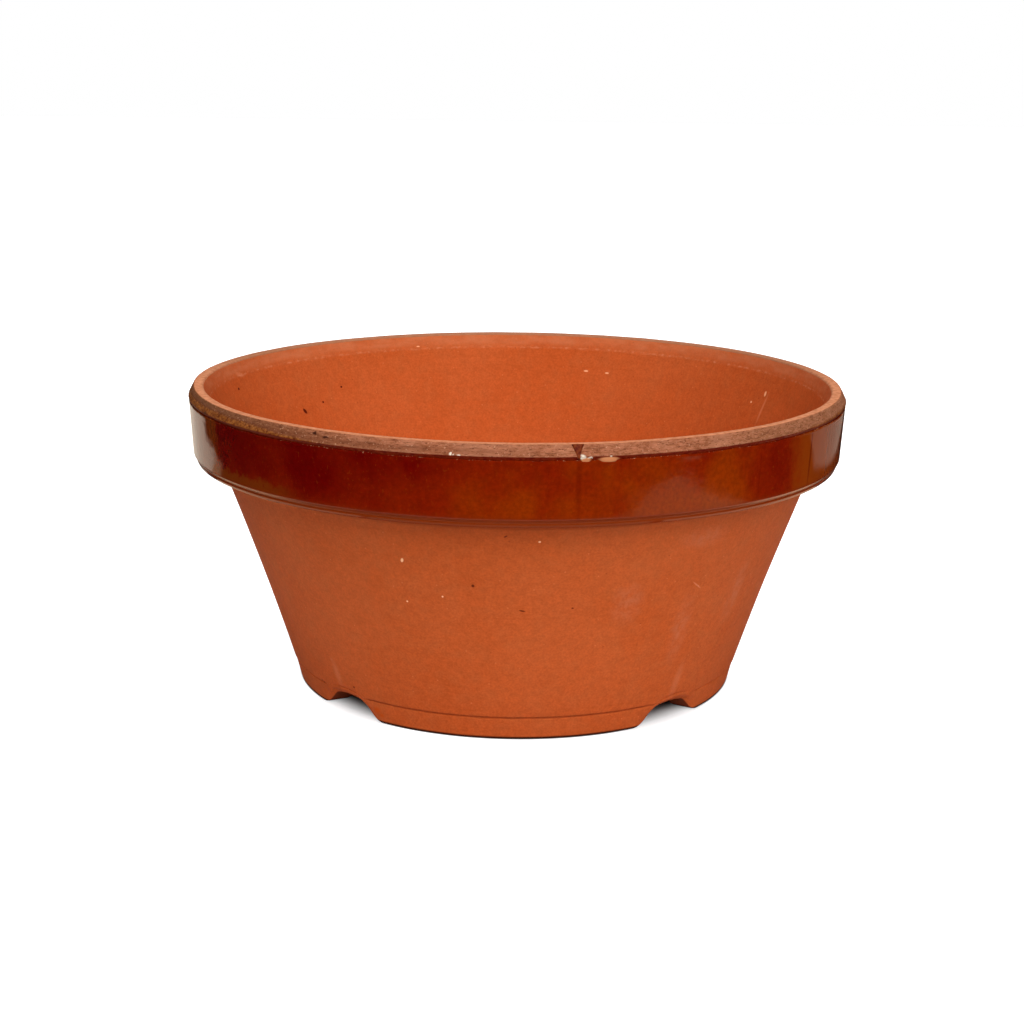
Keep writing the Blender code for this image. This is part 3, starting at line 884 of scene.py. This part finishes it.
def glaze_surface():
    """Glossy glaze, a little duller on its shoulder, with a faintly hammered and rippled face."""
    s = Surface("amber_glaze")
    place = s.place()
    height = s.part(place, "Z")
    base = glaze_depth_and_light(s, place, height)
    base = amber_sides(s, place, height, base)
    base = glaze_borders(s, place, height, base)
    shoulder = s.band(height, COLLAR_LOW + 1.6 * MM, COLLAR_LOW + 3.3 * MM, 0.3 * MM)
    s.set(Base_Color=base, Roughness=s.remap(shoulder, 0, 1, 0.035, 0.26), IOR=1.5)
    hammered = s.noise(place, 1.5 * MM, 4, 0.65)
    waves = s.noise(s.stretch(place, 1, 1, 0.5), 5.0 * MM, 2)
    s.set(Normal=s.bump(hammered, 0.02 * MM, 1.0, s.bump(waves, 0.02 * MM, 1.0)))
    return s.material


def run_surface():
    """The dark run: thin, uneven and duller than the rest of the glaze."""
    s = Surface("dark_glaze")
    patchy = s.remap(s.noise(s.place(), 1.1 * MM, 3), 0.35, 0.65)
    base = s.mix(patchy, colour(80, 16, 2), colour(122, 50, 16))
    s.set(Base_Color=base, Roughness=0.45, Specular_IOR_Level=0.2)
    return s.material


# ---------------------------------------------------------------- studio

CAMERA_PLACE = Vector((-1.46, -664.6, 225.1)) * MM
CAMERA_PITCH = 13.99
CAMERA_ROLL = 0.64
CAMERA_LENS = 64.08
CAMERA_SENSOR = 36

SUN_SPREAD = 35
# Each light's turn (degrees from the front towards +X), height in degrees and strength.
SUNS = (
    ("front_low", 0, 28, 0.75),
    ("front", 0, 40, 1.2),
    ("right", 45, 28, 0.9),
    ("left_high", -60, 64, 0.4),
    ("overhead", 0, 90, 1.42),
    ("back_right", 135, 40, 0.3),
    ("back_left", -135, 40, 0.3),
)
ROOM_LEVEL = 0.01
WHITE = (1.0, 1.0, 1.0, 1.0)
BLACK = (0.0, 0.0, 0.0, 1.0)
TABLE = ((-0.27, -0.31), (0.33, -0.31), (0.33, 0.6), (-0.27, 0.6))
TABLE_COLOUR = (0.88, 0.88, 0.88, 1.0)
TABLE_HEIGHT = -0.1 * MM
TINT_CREAM = (1.0, 0.9, 0.52, 1.0)
TINT_ROSE = (1.0, 0.66, 0.4, 1.0)
TINT_PALE = (1.0, 0.86, 0.7, 1.0)
# Painted reflections for the glaze: glowing patches that only glossy rays see, standing in for the table and
# the room behind, each with a level, a tint and its corners.
MIRRORED_HEIGHT = 0.1 * MM
MIRRORED = (
    ("front", 0.5, TINT_CREAM, (
        (-0.16, -0.21), (0.04, -0.294), (0.15, -0.294), (0.15, -0.19), (0.05, -0.08), (-0.08, -0.08),
    )),
    ("right", 0.5, TINT_CREAM, (
        (0.15, -0.294), (0.24, -0.29), (0.295, -0.265), (0.325, -0.185),
        (0.325, -0.05), (0.29, -0.05), (0.26, -0.17), (0.15, -0.19),
    )),
    ("near_right", 1.3, TINT_ROSE, (
        (0.09, -0.11), (0.15, -0.17), (0.22, -0.08), (0.24, 0.04), (0.2, 0.12), (0.13, 0.08), (0.13, -0.05),
    )),
    ("near_left", 1.1, TINT_ROSE, (
        (-0.105, -0.115), (-0.13, -0.05), (-0.13, 0.08), (-0.2, 0.12),
        (-0.235, 0.04), (-0.215, -0.07), (-0.155, -0.165),
    )),
    ("left", 0.5, TINT_ROSE, (
        (-0.3, 0.12), (-0.3, 0.17), (-0.38, 0.17), (-0.38, 0.12),
    )),
    ("far_left", 0.85, TINT_PALE, (
        (-0.2, 0.17), (-0.2, 0.6), (-0.5, 0.6), (-0.43, 0.31), (-0.38, 0.25), (-0.38, 0.17),
    )),
    ("far_right", 0.32, TINT_PALE, (
        (0.37, 0.14), (0.9, 0.14), (0.9, 0.9), (0.27, 0.9), (0.30, 0.33),
    )),
)
SHADED_RADIUS = 138 * MM  # painted shade: a dark disc that only the glaze's reflections see, since the table this close to the pot lies in its shade
SHADED_HEIGHT = 0.2 * MM
SHADED_SIDES = 64
FLOOR_SIZE = 6
FLOOR_COLOUR = (0.5, 0.5, 0.5, 1.0)
CONTACT_COLOUR = (0.03, 0.02, 0.015, 1.0)
CONTACT_INSIDE = FOOT_RADIUS - 0.7 * MM  # painted contact shadow: a dark line on the floor, close round the foot
CONTACT_OUTSIDE = FOOT_RADIUS + 0.8 * MM
SHADOW_INSIDE = 70 * MM
SHADOW_OPEN = 88 * MM  # how far out the shadow reaches, below an arch and elsewhere
SHADOW_CLOSED = 80 * MM
SHADOW_WIDE = 22  # half the width, in mm, of the floor that an arch darkens


def make_camera():
    lens = bpy.data.cameras.new("camera")
    lens.lens = CAMERA_LENS
    lens.sensor_width = CAMERA_SENSOR
    camera = bpy.data.objects.new("camera", lens)
    tilt = Matrix.Rotation(math.radians(90 - CAMERA_PITCH), 4, "X")
    roll = Matrix.Rotation(math.radians(CAMERA_ROLL), 4, "Z")
    camera.matrix_world = Matrix.Translation(CAMERA_PLACE) @ tilt @ roll
    bpy.context.collection.objects.link(camera)
    bpy.context.scene.camera = camera


def make_plane(name, outline, height, seen_by, glow=0.0, tint=WHITE, base=BLACK):
    """A flat stage piece with the given corners, seen only by the kinds of ray named in seen_by."""
    mesh = bpy.data.meshes.new(name)
    mesh.from_pydata([(x, y, height) for x, y in outline], [], [tuple(range(len(outline)))])
    plane = bpy.data.objects.new(name, mesh)
    bpy.context.collection.objects.link(plane)
    for kind in ("camera", "diffuse", "glossy", "transmission", "shadow"):
        setattr(plane, "visible_" + kind, kind in seen_by)
    s = Surface(name)
    s.set(Base_Color=base, Roughness=1.0, Specular_IOR_Level=0.0, Emission_Color=tint, Emission_Strength=glow)
    mesh.materials.append(s.material)
    return s


def foot_radius(z):
    return FOOT_RADIUS


def make_floor():
    """The white floor that the camera sees: it glows, except in the soft shadow close under the foot."""
    corners = [(FLOOR_SIZE * x, FLOOR_SIZE * y) for x, y in ((-1, -1), (1, -1), (1, 1), (-1, 1))]
    s = make_plane("floor", corners, 0.0, ("camera",))
    place = s.place()
    away = s.add("ShaderNodeVectorMath", "Value", {0: place}, operation="LENGTH")
    arches = [(turn, 0, SHADOW_WIDE, SHADOW_WIDE) for turn in ARCH_TURNS]
    open_side = s.spots(place, foot_radius, arches, soft=0.5)
    lit = s.remap(away, SHADOW_INSIDE, s.remap(open_side, 0, 1, SHADOW_CLOSED, SHADOW_OPEN))
    clear = s.math("MAXIMUM", s.remap(away, CONTACT_INSIDE, CONTACT_OUTSIDE), open_side)
    base = s.mix(clear, CONTACT_COLOUR, FLOOR_COLOUR)
    s.set(Base_Color=base, Emission_Strength=s.math("MULTIPLY", lit, clear))


def make_table():
    """The table top as light finds it, throwing light up on the clay; what the glaze mirrors of it is
    painted, as glowing patches and a dark disc.
    """
    make_plane("table", TABLE, TABLE_HEIGHT, ("diffuse", "shadow"), base=TABLE_COLOUR)
    turns = [math.tau * side / SHADED_SIDES for side in range(SHADED_SIDES)]
    shaded = [(SHADED_RADIUS * math.cos(turn), SHADED_RADIUS * math.sin(turn)) for turn in turns]
    make_plane("mirrored_shade", shaded, SHADED_HEIGHT, ("glossy",))
    for name, level, tint, outline in MIRRORED:
        make_plane("mirrored_" + name, outline, MIRRORED_HEIGHT, ("glossy",), level, tint)


def make_sun(name, turn, rise, strength):
    """A broad soft light from a compass turn (degrees from the front towards +X) and a height in degrees."""
    lamp = bpy.data.lights.new(name, "SUN")
    lamp.angle = math.radians(SUN_SPREAD)
    lamp.energy = strength
    light = bpy.data.objects.new(name, lamp)
    tilt = Matrix.Rotation(math.radians(90 - rise), 4, "X")
    light.matrix_world = Matrix.Rotation(math.radians(turn), 4, "Z") @ tilt
    light.visible_glossy = False
    bpy.context.collection.objects.link(light)


def make_world():
    """White to the camera, and dim to everything else."""
    world = bpy.data.worlds.new("studio")
    world.use_nodes = True
    tree = world.node_tree
    path = tree.nodes.new("ShaderNodeLightPath")
    level = tree.nodes.new("ShaderNodeMapRange")
    level.inputs["To Min"].default_value = ROOM_LEVEL
    level.inputs["To Max"].default_value = 1.0
    tree.links.new(path.outputs["Is Camera Ray"], level.inputs["Value"])
    tree.links.new(level.outputs[0], tree.nodes["Background"].inputs["Strength"])
    tree.nodes["Background"].inputs["Color"].default_value = WHITE
    bpy.context.scene.world = world


def make_studio():
    make_camera()
    make_floor()
    make_table()
    make_world()
    for name, turn, rise, strength in SUNS:
        make_sun(name, turn, rise, strength)


def main():
    bpy.context.scene.view_settings.view_transform = "Standard"
    clay, clay_marks = make_clay()
    glaze = make_glaze()
    run = make_run()
    looks = (
        (clay, "pot_body", "fired_clay", clay_surface(clay_marks)),
        (glaze, "rim_glaze", "amber_glaze", glaze_surface()),
        (run, "glaze_run", "dark_glaze", run_surface()),
    )
    for piece, node, slot, material in looks:
        piece.data.materials.append(material)
        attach(piece, "root")
        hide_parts(node)
    make_studio()


main()
